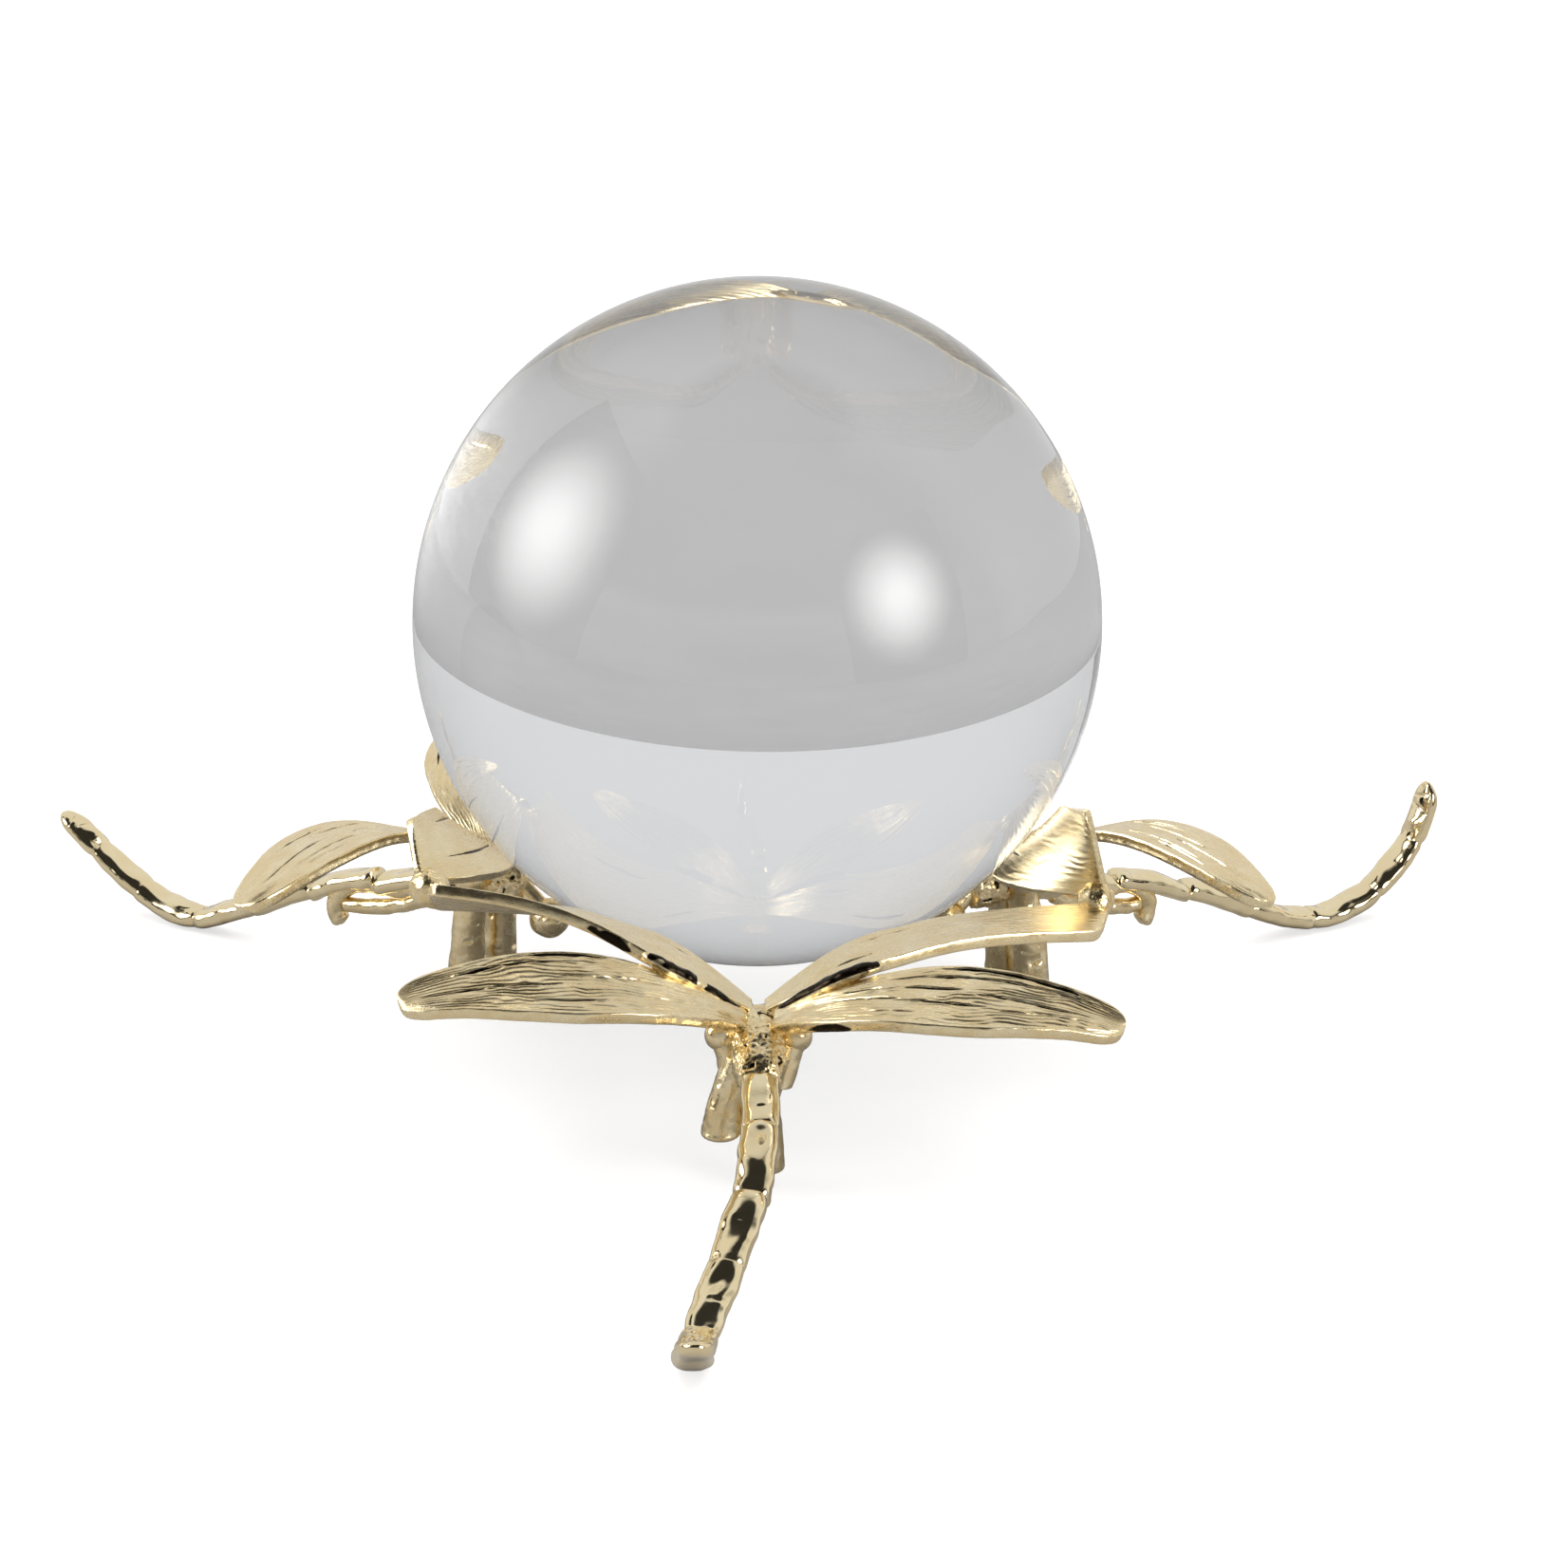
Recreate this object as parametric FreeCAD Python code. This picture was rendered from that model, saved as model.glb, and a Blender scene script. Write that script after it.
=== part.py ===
import FreeCAD
import Part
import math
import os
from FreeCAD import Vector

# A clear glass ball resting loose on a stand of three cast dragonflies. The dragonflies face
# the ball's axis. Their inner wings curve under the ball and are soldered tip to tip, their
# outer wings spread free, and their tails run outward and curl up at the tip.
#
# Frame: millimetres, +Z up, origin on the table straight below the ball's centre.
# Each dragonfly is drawn in its own frame: r outward from the ball's axis, t to the right as
# one faces the ball from outside, z up from the table. place() stands it in the part's frame.

BALL_R = 40.0
BALL_CENTRE_Z = 54.5
SEAT_GAP = 0.15

WING_THICKNESS = 1.4
WING_CAMBER = 0.5
WING_EDGE_POWER = 3.4
WING_STATIONS = 24

# Thorax: stations along r as (r, centre z, half width, half height).
THORAX = [
    (30.0, 15.2, 2.0, 2.2),
    (31.5, 15.9, 2.9, 3.0),
    (35.0, 16.2, 3.2, 3.3),
    (38.5, 15.7, 3.2, 3.1),
    (41.5, 14.6, 2.8, 2.5),
    (43.5, 13.9, 2.3, 1.8),
]

HEAD_R = 2.6
HEAD_CENTRE = (27.2, 0.0, 12.2)
NECK_R = 1.3

# Abdomens: centre lines as (r, t, z), with the bend's underside on the table. Each was bent a
# little by hand: the front one swings left on its way down, and the right one curls higher.
FRONT_TAIL = [
    (42.8, 0.0, 14.9),
    (48.0, 0.0, 13.5),
    (53.5, -0.2, 12.2),
    (60.5, -1.3, 9.7),
    (67.0, -3.2, 6.4),
    (73.5, -5.4, 3.2),
    (79.5, -7.1, 1.45),
    (84.5, -7.6, 2.4),
    (91.5, -7.7, 6.0),
    (99.5, -7.6, 11.2),
]
LEFT_TAIL = [
    (42.8, 0.0, 13.9),
    (48.0, 0.0, 12.8),
    (53.5, -0.3, 11.6),
    (60.5, -0.9, 9.3),
    (67.0, -1.4, 6.2),
    (73.5, -1.9, 3.2),
    (79.5, -2.4, 1.45),
    (84.5, -2.8, 2.4),
    (91.5, -3.4, 6.0),
    (99.5, -4.0, 11.2),
]
RIGHT_TAIL = [
    (42.8, 0.0, 14.0),
    (48.0, 0.0, 12.9),
    (53.5, 0.0, 11.8),
    (61.0, 0.0, 9.7),
    (69.5, 0.0, 6.4),
    (77.5, 0.0, 2.8),
    (84.5, 0.0, 1.45),
    (91.5, 0.0, 3.4),
    (96.6, 0.0, 7.8),
    (99.2, 0.0, 12.4),
    (99.9, 0.0, 17.0),
]
TAIL_HALF_WIDTH = 2.35
TAIL_HALF_HEIGHT = 1.45
TAIL_SEGMENTS = 7
TAIL_PINCH = 0.13
TAIL_TIP_BULGE = 0.06
TAIL_TAPER_FROM = 0.7
TAIL_NARROWING = 0.08
TAIL_THINNING = 0.26
TAIL_STATIONS = 36
TAIL_TIP_STATIONS = 6

# Outer wing: its two edges from root to tip as (r, t, z).
OUTER_FAR_EDGE = [
    (38.6, 1.6, 18.6),
    (44.2, 5.4, 22.0),
    (49.2, 12.2, 24.6),
    (51.2, 21.0, 25.2),
    (50.2, 31.0, 24.8),
    (48.3, 39.4, 22.9),
]
OUTER_NEAR_EDGE = [
    (34.6, 2.2, 19.6),
    (37.0, 8.4, 23.4),
    (38.0, 16.0, 26.4),
    (39.2, 25.0, 27.4),
    (41.0, 33.4, 26.4),
    (43.8, 40.5, 24.2),
]

# Inner wing: its two edges as (bearing from the dragonfly's own line, distance from the
# ball's axis, z), with the share of the wing's length at each.
INNER_SHARES = [0.0, 0.2, 0.45, 0.7, 1.0]
INNER_OUTER_EDGE = [
    (1.5, 34.6, 18.8),
    (13.5, 38.2, 25.2),
    (21.5, 37.6, 28.2),
    (33.5, 36.8, 31.8),
    (54.0, 42.4, 35.6),
]
INNER_INNER_EDGE = [
    (2.0, 31.6, 19.2),
    (16.0, 30.0, 24.4),
    (30.0, 27.4, 25.5),
    (46.0, 28.3, 26.2),
    (58.0, 41.4, 28.6),
]

# Front legs: a hip lobe at the side of the thorax and a post below it.
HIP_CENTRE = (35.8, 4.2, 16.9)
HIP_R = 1.9
LEG_TOP = (36.8, 1.9, 15.0)
LEG_KNEE = (37.4, 2.5, 10.5)
LEG_FOOT = (37.8, 3.1, 0.0)
LEG_R = 2.05
FOOT_R = 2.3
FOOT_ROUND = 0.6

# Rear leg: a bent strut under the abdomen and a brace back to the thorax.
REAR_STRUT = [(45.5, 0.0, 12.8), (50.5, 0.0, 12.0), (54.8, 0.0, 11.3), (56.8, 0.0, 9.2), (56.0, 0.0, 5.9)]
REAR_BRACE = [(55.6, 0.0, 8.5), (52.6, 0.0, 8.8), (49.0, 0.0, 9.6), (42.5, 0.0, 12.3)]
REAR_LEG_R = 1.25

# How each casting sits in the stand: its bearing, then the turn, roll and lift that hand
# assembly gave it, its tail, how far its left and right front legs stop short of the table, and
# how far the far edge of its left outer wing flares out.
UNITS = {
    "front": dict(turn=0.0, yaw=1.5, roll=-1.8, lift=0.9, tail=FRONT_TAIL, short=(6.3, 2.3), flare=0.0),
    "left": dict(turn=-120.0, yaw=4.5, roll=0.9, lift=-0.1, tail=LEFT_TAIL, short=(1.0, 0.0), flare=2.2),
    "right": dict(turn=120.0, yaw=0.5, roll=-1.7, lift=0.0, tail=RIGHT_TAIL, short=(1.0, 0.0), flare=0.0),
}

# How far the knee and foot of a front leg stand from the usual place, as changes of r and t.
FOOT_SHIFTS = {
    ("front", "left"): (0.0, -1.1),
    ("front", "right"): (0.0, -2.1),
    ("left", "left"): (-1.3, -1.3),
    ("left", "right"): (-0.4, 0.0),
    ("right", "left"): (0.0, -0.8),
}

# How each inner wing's two tip corners were bent to meet the neighbour's: changes of bearing,
# distance and z at the outer corner, then at the inner corner.
TIP_BENDS = {
    ("front", "left"): ((-4.5, 6.5, -2.5), (2.0, 1.5, -1.5)),
    ("front", "right"): ((3.5, 4.0, -10.5), (11.0, 2.5, -3.4)),
    ("left", "right"): ((-1.0, 1.5, 1.7), (1.5, 4.0, 3.0)),
    ("left", "left"): ((2.5, 2.0, -5.5), (4.0, 2.0, -3.0)),
    ("right", "left"): ((-2.0, -1.5, 1.5), (-7.5, 2.0, -2.0)),
    ("right", "right"): ((2.5, 2.5, -5.0), (4.0, 3.0, -2.5)),
}

SIDES = {"left": -1.0, "right": 1.0}

# Solder joints where neighbouring tips meet: (unit, side) pairs.
JUNCTIONS = {
    "front_left": (("front", "left"), ("left", "right")),
    "front_right": (("front", "right"), ("right", "left")),
    "back": (("left", "left"), ("right", "right")),
}
SOLDER_R = 1.7


def local(r, t, z):
    """A point of a dragonfly's own frame, before place() stands it in the part's frame."""
    return Vector(t, -r, z)


def curve_through(points, shares=None):
    curve = Part.BSplineCurve()
    if shares:
        curve.interpolate(Points=points, Parameters=shares)
    else:
        curve.interpolate(Points=points)
    return curve


def at_share(curve, share):
    first = curve.FirstParameter
    return first + share * (curve.LastParameter - first)


def rounded_outline(centre, across, up, half_width, half_height, power):
    """A closed rounded curve in the plane of the unit vectors across and up."""
    count = 20
    points = []
    for k in range(count):
        angle = 2 * math.pi * k / count
        c = math.cos(angle)
        s = math.sin(angle)
        a = math.copysign(abs(c) ** (2 / power), c) * half_width
        b = math.copysign(abs(s) ** (2 / power), s) * half_height
        points.append(centre + across * a + up * b)
    outline = Part.BSplineCurve()
    shares = [k / count for k in range(count + 1)]
    outline.interpolate(Points=points, PeriodicFlag=True, Parameters=shares)
    return outline


def rounded_section(*shape):
    return Part.Wire(rounded_outline(*shape).toShape())


def unit(vector):
    copy = Vector(vector)
    return copy.normalize()


def skinned(outlines):
    """A solid through closed curves, ruled from each to the next with no shift round them."""
    halves = [(outline.toShape(0.0, 0.5), outline.toShape(0.5, 1.0)) for outline in outlines]
    faces = [Part.Face(Part.Wire(list(halves[0]))), Part.Face(Part.Wire(list(halves[-1])))]
    for here, there in zip(halves, halves[1:]):
        faces.append(Part.makeRuledSurface(here[0], there[0]))
        faces.append(Part.makeRuledSurface(here[1], there[1]))
    shell = Part.makeShell(faces)
    shell.sewShape()
    solid = Part.makeSolid(shell)
    if solid.Volume < 0:
        solid.reverse()
    return solid


def swept_blade(near, far, shares, widths):
    """A wing blade between two edge curves; widths narrow it at chosen shares."""
    outlines = []
    last_up = Vector(0, 0, 1)
    for share, width in zip(shares, widths):
        n = near.value(at_share(near, share))
        f = far.value(at_share(far, share))
        centre = (n + f) * 0.5
        across = unit(f - n)
        along = near.tangent(at_share(near, share))[0] + far.tangent(at_share(far, share))[0]
        up = unit(along.cross(across))
        if up.dot(last_up) < 0:
            up = up * -1
        last_up = up
        half = (f - n).Length * 0.5 * width
        bowed = centre + up * -WING_CAMBER * min(1.0, half / 5.0)
        outlines.append(rounded_outline(bowed, across, up, half, WING_THICKNESS / 2, WING_EDGE_POWER))
    return skinned(outlines)


def tube(points, radii, power=2.0, flatten=1.0):
    """A solid limb through the points, with its radius at each."""
    line = curve_through(points)
    sections = []
    count = len(radii)
    for k, radius in enumerate(radii):
        u = at_share(line, k / (count - 1))
        centre = line.value(u)
        along = line.tangent(u)[0]
        across = Vector(1, 0, 0)
        if abs(along.x) > 0.7:
            across = Vector(0, 1, 0)
        up = unit(along.cross(across))
        across = unit(up.cross(along))
        sections.append(rounded_section(centre, across, up, radius, radius * flatten, power))
    return Part.makeLoft(sections, True, False, False, 3)


def make_thorax():
    sections = []
    for r, z, half_width, half_height in THORAX:
        centre = local(r, 0, z)
        outline = rounded_section(centre, Vector(1, 0, 0), Vector(0, 0, 1), half_width, half_height, 2.3)
        sections.append(outline)
    return Part.makeLoft(sections, True, False, False, 3)


def make_head():
    centre = local(*HEAD_CENTRE)
    ball = Part.makeSphere(HEAD_R, centre)
    toward = local(THORAX[1][0], 0, THORAX[1][1]) - centre
    neck = Part.makeCylinder(NECK_R, toward.Length, centre, toward)
    return ball.fuse(neck).removeSplitter()


def make_abdomen(tail_line):
    line = curve_through([local(*point) for point in tail_line])
    sections = []
    tip_share = TAIL_HALF_WIDTH / line.length()
    shares = [k * (1 - tip_share) / TAIL_STATIONS for k in range(TAIL_STATIONS)]
    for k in range(TAIL_TIP_STATIONS):
        angle = math.radians(78.0 * k / (TAIL_TIP_STATIONS - 1))
        shares.append(1 - tip_share * (1 - math.sin(angle)))
    for share in shares:
        u = at_share(line, share)
        centre = line.value(u)
        along = line.tangent(u)[0]
        across = unit(along.cross(Vector(0, 0, 1)))
        up = unit(across.cross(along))
        phase = share * TAIL_SEGMENTS
        pinch = math.cos(math.pi * phase) ** 8
        swell = 1 - TAIL_PINCH * pinch + TAIL_TIP_BULGE * math.sin(2.2 * phase)
        into_tip = max(0.0, share - 1 + tip_share) / tip_share
        swell *= math.sqrt(1 - into_tip ** 2)
        curled = max(0.0, share - TAIL_TAPER_FROM) / (1 - TAIL_TAPER_FROM)
        curled = curled * curled * (3 - 2 * curled)
        width = TAIL_HALF_WIDTH * swell * (1 - TAIL_NARROWING * curled)
        height = TAIL_HALF_HEIGHT * swell * (1 - TAIL_THINNING * curled)
        sections.append(rounded_section(centre, across, up, width, height, 2.4))
    return Part.makeLoft(sections, True, True)


def inner_edge(points, side, bend):
    bent = []
    for (bearing, distance, z), share in zip(points, INNER_SHARES):
        weight = share ** 2
        angle = math.radians(bearing + bend[0] * weight) * side
        reach = distance + bend[1] * weight
        bent.append(local(reach * math.cos(angle), reach * math.sin(angle), z + bend[2] * weight))
    return curve_through(bent, INNER_SHARES)


def make_inner_wing(side, bends):
    far = inner_edge(INNER_OUTER_EDGE, side, bends[0])
    near = inner_edge(INNER_INNER_EDGE, side, bends[1])
    shares = [k / WING_STATIONS for k in range(WING_STATIONS)] + [0.98, 1.0]
    widths = [1.0] * WING_STATIONS + [0.97, 0.88]
    return swept_blade(near, far, shares, widths)


def make_outer_wing(side, flare):
    far_points = []
    for k, (r, t, z) in enumerate(OUTER_FAR_EDGE):
        spread = flare * math.sin(math.pi * k / (len(OUTER_FAR_EDGE) - 1))
        far_points.append(local(r + spread, side * t, z))
    far = curve_through(far_points)
    near = curve_through([local(r, side * t, z) for r, t, z in OUTER_NEAR_EDGE])
    shares = [0.93 * k / WING_STATIONS for k in range(WING_STATIONS)] + [0.93, 0.95, 0.97, 0.985, 0.995, 1.0]
    widths = [1.0] * WING_STATIONS + [0.99, 0.95, 0.84, 0.67, 0.48, 0.3]
    return swept_blade(near, far, shares, widths)


def make_front_leg(side, short, lift, shift):
    hip = Part.makeSphere(HIP_R, local(HIP_CENTRE[0], side * HIP_CENTRE[1], HIP_CENTRE[2] + lift))
    top = local(LEG_TOP[0], side * LEG_TOP[1], LEG_TOP[2] + lift)
    moved = local(shift[0], shift[1], 0)
    knee = local(LEG_KNEE[0], side * LEG_KNEE[1], LEG_KNEE[2]) + moved
    foot = local(LEG_FOOT[0], side * LEG_FOOT[1], LEG_FOOT[2] + short) + moved
    spread = [top, knee, foot + Vector(0, 0, FOOT_ROUND), foot]
    radii = [LEG_R, LEG_R, FOOT_R, FOOT_R - FOOT_ROUND]
    sections = []
    for point, radius in zip(spread, radii):
        sections.append(Part.Wire(Part.makeCircle(radius, point, Vector(0, 0, 1))))
    post = Part.makeLoft(sections, True, True)
    return hip.fuse(post).removeSplitter()


def make_rear_leg():
    strut = tube([local(*p) for p in REAR_STRUT], [REAR_LEG_R] * 9)
    brace = tube([local(*p) for p in REAR_BRACE], [REAR_LEG_R * 0.8] * 7)
    return strut.fuse(brace).removeSplitter()


def place(shape, turn, yaw, roll, lift):
    placed = shape.copy()
    pivot = local(34.0, 0, 20.0)
    placed.rotate(pivot, Vector(0, -1, 0), roll)
    placed.translate(Vector(0, 0, lift))
    placed.rotate(Vector(0, 0, 0), Vector(0, 0, 1), turn + yaw)
    return placed


def largest(shape):
    return max(shape.Solids, key=lambda solid: solid.Volume)


def make_solder(first, second):
    """A bead of solder over the place where two wing tips come closest."""
    gap, pairs, info = first.distToShape(second)
    middle = (pairs[0][0] + pairs[0][1]) * 0.5
    bead = Part.makeSphere(SOLDER_R + gap / 2, middle)
    return largest(bead.cut(first).cut(second))


parts = {}
ball_centre = Vector(0, 0, BALL_CENTRE_Z)
parts["crystal_ball"] = Part.makeSphere(BALL_R, ball_centre)
seat = Part.makeSphere(BALL_R + SEAT_GAP, ball_centre)

for unit_name, data in UNITS.items():
    prefix = unit_name + "_dragonfly_"
    turn = data["turn"]
    yaw = data["yaw"]
    lift = data["lift"]
    body = (turn, yaw, 0.0, lift)
    thorax = place(make_thorax(), *body)
    abdomen = place(make_abdomen(data["tail"]), turn, yaw, 0.0, 0.0).cut(thorax)
    parts[prefix + "thorax"] = thorax
    parts[prefix + "head"] = place(make_head(), *body).cut(thorax)
    parts[prefix + "abdomen"] = abdomen
    parts[prefix + "rear_leg"] = largest(place(make_rear_leg(), *body).cut(thorax).cut(abdomen))
    for side_name, side in SIDES.items():
        name = prefix + side_name
        inner = place(make_inner_wing(side, TIP_BENDS[(unit_name, side_name)]), *body)
        left = side_name == "left"
        outer = make_outer_wing(side, data["flare"] if left else 0.0)
        shift = FOOT_SHIFTS.get((unit_name, side_name), (0.0, 0.0))
        leg = make_front_leg(side, data["short"][0 if left else 1], lift, shift)
        parts[name + "_inner_wing"] = largest(inner.cut(thorax).cut(seat))
        parts[name + "_outer_wing"] = largest(place(outer, turn, yaw, data["roll"], lift).cut(thorax))
        parts[name + "_front_leg"] = largest(place(leg, turn, yaw, 0.0, 0.0).cut(thorax))

for name, (first, second) in JUNCTIONS.items():
    tips = ["_dragonfly_".join(pair) + "_inner_wing" for pair in (first, second)]
    parts[name + "_solder_joint"] = make_solder(parts[tips[0]], parts[tips[1]])

os.makedirs("parts", exist_ok=True)
for name, shape in parts.items():
    shape.exportStep("parts/" + name + ".step")
    print(name, shape.isValid(), len(shape.Solids), round(shape.Volume, 2))
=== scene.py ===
import bpy
import math
import numpy as np
from mathutils import Matrix, Vector


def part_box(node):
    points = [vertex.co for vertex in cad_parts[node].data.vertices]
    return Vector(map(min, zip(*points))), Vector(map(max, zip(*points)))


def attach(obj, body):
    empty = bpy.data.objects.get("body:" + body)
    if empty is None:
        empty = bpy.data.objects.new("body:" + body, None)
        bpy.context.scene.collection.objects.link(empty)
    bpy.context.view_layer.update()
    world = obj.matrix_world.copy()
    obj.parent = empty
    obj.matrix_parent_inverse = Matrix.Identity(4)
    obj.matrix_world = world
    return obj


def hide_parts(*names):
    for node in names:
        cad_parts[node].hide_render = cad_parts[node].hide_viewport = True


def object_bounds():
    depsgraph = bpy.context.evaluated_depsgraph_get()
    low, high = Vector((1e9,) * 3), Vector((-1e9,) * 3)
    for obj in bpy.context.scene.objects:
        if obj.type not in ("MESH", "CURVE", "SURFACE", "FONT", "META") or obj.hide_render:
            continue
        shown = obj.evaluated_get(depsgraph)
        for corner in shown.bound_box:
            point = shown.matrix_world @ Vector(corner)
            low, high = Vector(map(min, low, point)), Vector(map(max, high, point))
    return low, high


# A clear glass ball on a stand of three gold-plated cast dragonflies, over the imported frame.
# Lengths are in millimetres until a mesh is made; MM turns them into metres.
# Each dragonfly is drawn in its own frame: r outward from the ball's axis, t to the right as
# one faces the ball from outside, z up from the table.

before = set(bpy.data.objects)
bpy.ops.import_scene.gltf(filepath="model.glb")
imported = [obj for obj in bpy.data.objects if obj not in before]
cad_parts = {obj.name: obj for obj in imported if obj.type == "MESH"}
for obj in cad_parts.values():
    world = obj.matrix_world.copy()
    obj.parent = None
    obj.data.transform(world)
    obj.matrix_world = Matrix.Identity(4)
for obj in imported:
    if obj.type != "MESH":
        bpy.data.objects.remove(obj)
cad_lo, cad_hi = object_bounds()
MM = 0.001

BALL_R = 40.0
BALL_CENTRE = np.array([0.0, 0.0, 54.5])
BALL_CLEARANCE = 0.15

HALF_THICKNESS = 0.7
WING_CAMBER = 0.5
EDGE_ROUND = 0.28
PIVOT = np.array([0.0, -34.0, 20.0])

# Thorax stations: r, z, half width and half height.
THORAX = [
    (30.0, 15.2, 2.0, 2.2),
    (31.5, 15.9, 2.9, 3.0),
    (35.0, 16.2, 3.2, 3.3),
    (38.5, 15.7, 3.2, 3.1),
    (41.5, 14.6, 2.8, 2.5),
    (43.5, 13.9, 2.3, 1.8),
]
HEAD_R = 2.6
HEAD_CENTRE = (27.2, 0.0, 12.2)
NECK_R = 1.25
FRONT_TAIL = [
    (42.8, 0.0, 14.9),
    (48.0, 0.0, 13.5),
    (53.5, -0.2, 12.2),
    (60.5, -1.3, 9.7),
    (67.0, -3.2, 6.4),
    (73.5, -5.4, 3.2),
    (79.5, -7.1, 1.45),
    (84.5, -7.6, 2.4),
    (91.5, -7.7, 6.0),
    (99.5, -7.6, 11.2),
]
LEFT_TAIL = [
    (42.8, 0.0, 13.9),
    (48.0, 0.0, 12.8),
    (53.5, -0.3, 11.6),
    (60.5, -0.9, 9.3),
    (67.0, -1.4, 6.2),
    (73.5, -1.9, 3.2),
    (79.5, -2.4, 1.45),
    (84.5, -2.8, 2.4),
    (91.5, -3.4, 6.0),
    (99.5, -4.0, 11.2),
]
RIGHT_TAIL = [
    (42.8, 0.0, 14.0),
    (48.0, 0.0, 12.9),
    (53.5, 0.0, 11.8),
    (61.0, 0.0, 9.7),
    (69.5, 0.0, 6.4),
    (77.5, 0.0, 2.8),
    (84.5, 0.0, 1.45),
    (91.5, 0.0, 3.4),
    (96.6, 0.0, 7.8),
    (99.2, 0.0, 12.4),
    (99.9, 0.0, 17.0),
]
TAIL_HALF_WIDTH = 2.35
TAIL_HALF_HEIGHT = 1.45
TAIL_TAPER_FROM = 0.7
TAIL_NARROWING = 0.08
TAIL_THINNING = 0.26

OUTER_FAR_EDGE = [
    (38.6, 1.6, 18.6),
    (44.2, 5.4, 22.0),
    (49.2, 12.2, 24.6),
    (51.2, 21.0, 25.2),
    (50.2, 31.0, 24.8),
    (48.3, 39.4, 22.9),
]
OUTER_NEAR_EDGE = [
    (34.6, 2.2, 19.6),
    (37.0, 8.4, 23.4),
    (38.0, 16.0, 26.4),
    (39.2, 25.0, 27.4),
    (41.0, 33.4, 26.4),
    (43.8, 40.5, 24.2),
]
# An inner wing's edges are bearing from the dragonfly's own line, distance from the ball's axis
# and z, with the share of the wing's length at each.
INNER_SHARES = [0.0, 0.2, 0.45, 0.7, 1.0]
INNER_OUTER_EDGE = [
    (1.5, 34.6, 18.8),
    (13.5, 38.2, 25.2),
    (21.5, 37.6, 28.2),
    (33.5, 36.8, 31.8),
    (54.0, 42.4, 35.6),
]
INNER_INNER_EDGE = [
    (2.0, 31.6, 19.2),
    (16.0, 30.0, 24.4),
    (30.0, 27.4, 25.5),
    (46.0, 28.3, 26.2),
    (58.0, 41.4, 28.6),
]

HIP_CENTRE = (35.8, 4.2, 16.9)
HIP_R = 1.9
LOBE_R = 1.45
LEG_TOP = (36.8, 1.9, 15.0)
LEG_KNEE = (37.4, 2.5, 10.5)
LEG_FOOT = (37.8, 3.1, 0.0)
LEG_R = 2.05
FOOT_R = 2.3
FOOT_ROUND = 0.6
REAR_STRUT = [
    (45.5, 0.0, 12.8),
    (50.5, 0.0, 12.0),
    (54.8, 0.0, 11.3),
    (56.8, 0.0, 9.2),
    (56.0, 0.0, 5.9),
]
REAR_BRACE = [(55.6, 0.0, 8.5), (52.6, 0.0, 8.8), (49.0, 0.0, 9.6), (42.5, 0.0, 12.3)]
REAR_LEG_R = 1.25
REAR_BRACE_SHARE = 0.8

# Each dragonfly's bearing, then the turn, roll and lift of its casting, its tail, how far its
# left and right front legs stop short of the table, and how far its left outer wing flares.
UNITS = {
    "front": dict(turn=0.0, yaw=1.5, roll=-1.8, lift=0.9, tail=FRONT_TAIL, short=(6.3, 2.3), flare=0.0),
    "left": dict(turn=-120.0, yaw=4.5, roll=0.9, lift=-0.1, tail=LEFT_TAIL, short=(1.0, 0.0), flare=2.2),
    "right": dict(turn=120.0, yaw=0.5, roll=-1.7, lift=0.0, tail=RIGHT_TAIL, short=(1.0, 0.0), flare=0.0),
}
# How far a front leg's knee and foot stand from the usual place, as changes of r and t.
FOOT_SHIFTS = {
    ("front", "left"): (0.0, -1.1),
    ("front", "right"): (0.0, -2.1),
    ("left", "left"): (-1.3, -1.3),
    ("left", "right"): (-0.4, 0.0),
    ("right", "left"): (0.0, -0.8),
}
# Changes of bearing, distance and z at an inner wing's outer tip corner, then at its inner one.
TIP_BENDS = {
    ("front", "left"): ((-4.5, 6.5, -2.5), (2.0, 1.5, -1.5)),
    ("front", "right"): ((3.5, 4.0, -10.5), (11.0, 2.5, -3.4)),
    ("left", "right"): ((-1.0, 1.5, 1.7), (1.5, 4.0, 3.0)),
    ("left", "left"): ((2.5, 2.0, -5.5), (4.0, 2.0, -3.0)),
    ("right", "left"): ((-2.0, -1.5, 1.5), (-7.5, 2.0, -2.0)),
    ("right", "right"): ((2.5, 2.5, -5.0), (4.0, 3.0, -2.5)),
}
SIDES = {"left": -1.0, "right": 1.0}

# Grooves in the front outer wings' upper faces: share along the wing where each starts and ends,
# place across it there (-1 the edge next to the ball, 1 the far edge) and width in mm.
OUTER_GROOVES = {
    ("front", "right"): [
        (0.46, 0.93, -0.93, -0.86, 0.75),
        (0.34, 0.95, -0.66, -0.62, 0.42),
        (0.23, 0.34, -0.42, -0.40, 0.45),
        (0.40, 0.56, -0.30, -0.24, 0.62),
        (0.15, 0.42, -0.10, 0.10, 0.50),
        (0.38, 0.64, 0.16, 0.30, 0.46),
        (0.58, 0.90, -0.12, 0.10, 0.40),
        (0.66, 0.88, 0.42, 0.46, 0.34),
        (0.30, 0.46, 0.56, 0.62, 0.36),
    ],
    ("front", "left"): [
        (0.40, 0.70, -0.95, -0.92, 0.62),
        (0.44, 0.74, -0.70, -0.66, 0.40),
        (0.72, 0.85, -0.66, -0.60, 0.66),
        (0.35, 0.58, -0.26, -0.20, 0.38),
        (0.56, 0.78, 0.02, 0.10, 0.36),
        (0.76, 0.94, 0.12, 0.20, 0.52),
        (0.20, 0.36, 0.30, 0.36, 0.30),
        (0.46, 0.66, 0.52, 0.56, 0.30),
    ],
}


# ---------------------------------------------------------------- curves, noise and meshes

def unit(v):
    return v / np.linalg.norm(v, axis=-1, keepdims=True)


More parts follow.
